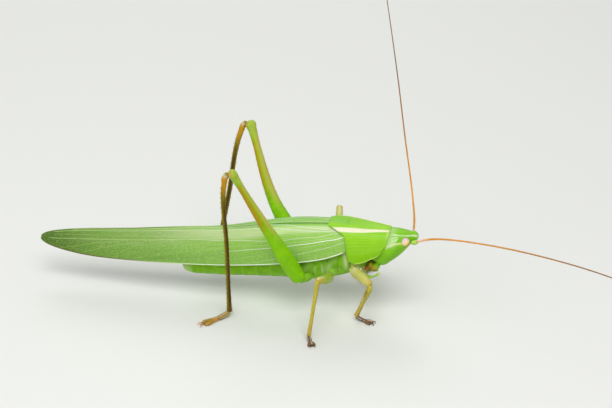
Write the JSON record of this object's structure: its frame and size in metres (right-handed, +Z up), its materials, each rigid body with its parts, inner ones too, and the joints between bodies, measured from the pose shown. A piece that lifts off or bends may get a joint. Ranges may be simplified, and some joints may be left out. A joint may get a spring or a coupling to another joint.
{
  "type": "conehead bush-cricket",
  "caption": "Slender green long-horned grasshopper with a cone-shaped forehead, long folded leaf-like wings, whip feelers and raised hind knees, standing at rest.",
  "frame": {"origin": "on the floor, below the middle of the whole insect's box, feelers included", "axes": "+X the way the head points, +Y to the insect's left, +Z up"},
  "size_m": [0.0984, 0.0594, 0.0366],
  "materials": {
    "shell_green": "satin, smooth yellow-green skin",
    "shell_pale": "satin, pale yellow-green soft skin",
    "mouth": "semi-gloss amber yellow",
    "eye": "semi-gloss, pale pinkish cream",
    "fore_wing": "satin, leathery green with pale veins",
    "hind_wing": "satin, thin pale folded membrane",
    "leg_yellow": "satin, ochre yellow",
    "hind_shank": "satin, ochre with dark brown lines",
    "foot": "satin, purplish brown",
    "feeler": "satin, orange brown"
  },
  "bodies": {
    "root": {"abdomen_1": "shell_green", "abdomen_2": "shell_green", "abdomen_3": "shell_green", "abdomen_tip": "shell_green", "cercus_left": "shell_green", "cercus_right": "shell_green", "eye_left": "eye", "eye_right": "eye", "feeler_base_left": "shell_pale", "feeler_base_right": "shell_pale", "feeler_far_left": "feeler", "feeler_far_right": "feeler", "feeler_near_left": "feeler", "feeler_near_right": "feeler", "fore_left_coxa": "shell_green", "fore_left_femur": "leg_yellow", "fore_left_tarsus": "foot", "fore_left_tibia": "leg_yellow", "fore_right_coxa": "shell_green", "fore_right_femur": "leg_yellow", "fore_right_tarsus": "foot", "fore_right_tibia": "leg_yellow", "fore_wing_left": "fore_wing", "fore_wing_right": "fore_wing", "head": "shell_green", "hind_left_coxa": "shell_green", "hind_left_femur": "shell_green", "hind_left_tarsus": "hind_shank", "hind_left_tibia": "hind_shank", "hind_right_coxa": "shell_green", "hind_right_femur": "shell_green", "hind_right_tarsus": "hind_shank", "hind_right_tibia": "hind_shank", "hind_wing_left": "hind_wing", "hind_wing_right": "hind_wing", "jaw_left": "mouth", "jaw_right": "mouth", "mesothorax": "shell_green", "metathorax": "shell_green", "middle_left_coxa": "shell_green", "middle_left_femur": "leg_yellow", "middle_left_tarsus": "foot", "middle_left_tibia": "leg_yellow", "middle_right_coxa": "shell_green", "middle_right_femur": "leg_yellow", "middle_right_tarsus": "foot", "middle_right_tibia": "leg_yellow", "neck": "shell_pale", "palp_left": "shell_pale", "palp_right": "shell_pale", "pronotum": "shell_green", "prothorax": "shell_green", "upper_lip": "mouth"}
  },
  "joints": []
}
